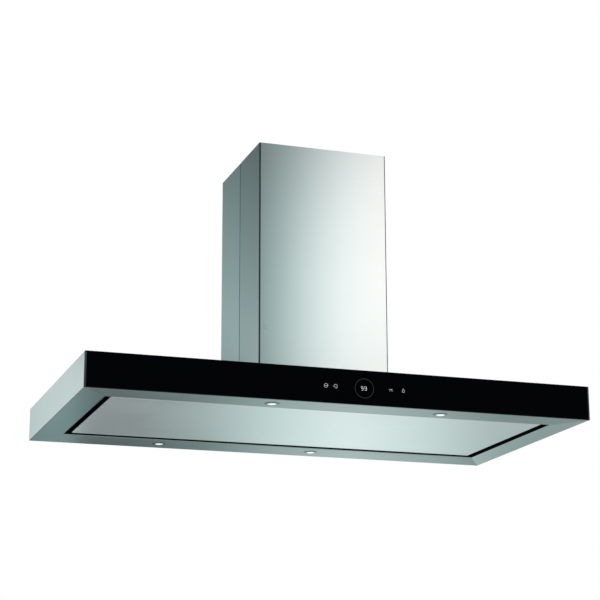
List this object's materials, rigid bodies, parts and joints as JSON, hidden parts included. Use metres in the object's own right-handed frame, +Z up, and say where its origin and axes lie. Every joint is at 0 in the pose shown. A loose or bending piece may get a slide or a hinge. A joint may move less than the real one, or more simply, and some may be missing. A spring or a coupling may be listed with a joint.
{
  "type": "island range hood",
  "caption": "Ceiling-hung island range hood: flat steel canopy with black touch-glass front, slotted suction panel, spot lamps and a square telescopic chimney.",
  "frame": {"origin": "middle of the ceiling plate's top face, where the hood is bolted to the ceiling", "axes": "+X along the canopy's length, to the right of a person facing the glass; +Y from the glass to the back; +Z up, out of the ceiling plate"},
  "size_m": [1.2, 0.65, 0.6612],
  "materials": {
    "brushed_steel": "fine long grain",
    "zinc_steel": "zinc plated",
    "latch_steel": "pressed steel",
    "black_glass": "black backed, polished",
    "black_paint": "satin black",
    "motor_paint": "dark grey enamel",
    "aluminium": "extruded",
    "filter_mesh": "expanded mesh",
    "lamp_chrome": "dark polished",
    "lamp_lens": "frosted lens",
    "black_plastic": "moulded",
    "white_plastic": "moulded",
    "board_green": "solder mask",
    "rubber": "soft"
  },
  "bodies": {
    "ceiling_frame": {"ceiling_plate": "zinc_steel", "upper_uprights": "zinc_steel", "upper_chimney_front": "brushed_steel", "upper_chimney_rear": "brushed_steel", "upper_seam_strips": "black_paint"},
    "hood": {"blower_housing_left": "black_plastic", "blower_housing_right": "black_plastic", "board_cover": "black_plastic", "cable_gland": "black_plastic", "canopy_front_wall": "brushed_steel", "canopy_left_wall": "brushed_steel", "canopy_rear_wall": "brushed_steel", "canopy_right_wall": "brushed_steel", "canopy_top": "brushed_steel", "chimney_clips": "zinc_steel", "clamp_bolts": "zinc_steel", "control_box": "white_plastic", "control_lid": "white_plastic", "damper_pins": "zinc_steel", "display_module": "black_plastic", "filter_deck": "black_paint", "filter_frame_left": "aluminium", "filter_frame_right": "aluminium", "filter_mesh_left": "filter_mesh", "filter_mesh_right": "filter_mesh", "filter_rails": "zinc_steel", "foot_bolts": "zinc_steel", "front_glass": "black_glass", "inlet_rings": "black_plastic", "lamp_bezel_front_left": "lamp_chrome", "lamp_bezel_front_right": "lamp_chrome", "lamp_bezel_rear_left": "lamp_chrome", "lamp_bezel_rear_right": "lamp_chrome", "lamp_driver": "white_plastic", "lamp_heat_sinks": "aluminium", "lamp_lenses": "lamp_lens", "lower_chimney_front": "brushed_steel", "lower_chimney_rear": "brushed_steel", "lower_seam_strips": "black_paint", "lower_uprights": "zinc_steel", "motor": "motor_paint", "motor_box": "zinc_steel", "motor_bracket": "zinc_steel", "motor_grommets": "rubber", "outlet_adapter": "black_plastic", "panel_hinge_brackets": "zinc_steel", "panel_hinge_pins": "zinc_steel", "panel_magnets": "black_plastic", "touch_board": "board_green"},
    "suction_panel": {"perimeter_panel": "brushed_steel", "panel_stiffeners": "zinc_steel", "panel_hinge_leaves": "zinc_steel", "panel_strikers": "zinc_steel"},
    "fan": {"impeller": "black_plastic", "motor_shaft": "zinc_steel"},
    "damper_front": {"damper_flap_front": "black_plastic"},
    "damper_rear": {"damper_flap_rear": "black_plastic"},
    "latch_left": {"filter_latch_left": "latch_steel"},
    "latch_right": {"filter_latch_right": "latch_steel"}
  },
  "joints": [
    {"name": "height_adjust", "type": "slide", "parent": "ceiling_frame", "child": "hood", "axis": [0, 0, -1], "range_m": [0, 0.3]},
    {"name": "panel_hinge", "type": "hinge", "parent": "hood", "child": "suction_panel", "pos_m": [0, 0.196, -0.642], "axis": [1, 0, 0], "range_deg": [0, 85]},
    {"name": "fan_spin", "type": "hinge", "parent": "hood", "child": "fan", "pos_m": [0, -0.0285, -0.4435], "axis": [1, 0, 0], "continuous": true},
    {"name": "damper_front_lift", "type": "hinge", "parent": "hood", "child": "damper_front", "pos_m": [0, -0.005, -0.2485], "axis": [-1, 0, 0], "range_deg": [0, 75]},
    {"name": "damper_rear_lift", "type": "hinge", "parent": "hood", "child": "damper_rear", "pos_m": [0, 0.005, -0.2485], "axis": [1, 0, 0], "range_deg": [0, 75]},
    {"name": "latch_left_slide", "type": "slide", "parent": "hood", "child": "latch_left", "axis": [0, 1, 0], "range_m": [0, 0.007], "stiffness_N_per_m": 400, "springref_m": -0.004},
    {"name": "latch_right_slide", "type": "slide", "parent": "hood", "child": "latch_right", "axis": [0, 1, 0], "range_m": [0, 0.007], "stiffness_N_per_m": 400, "springref_m": -0.004}
  ]
}
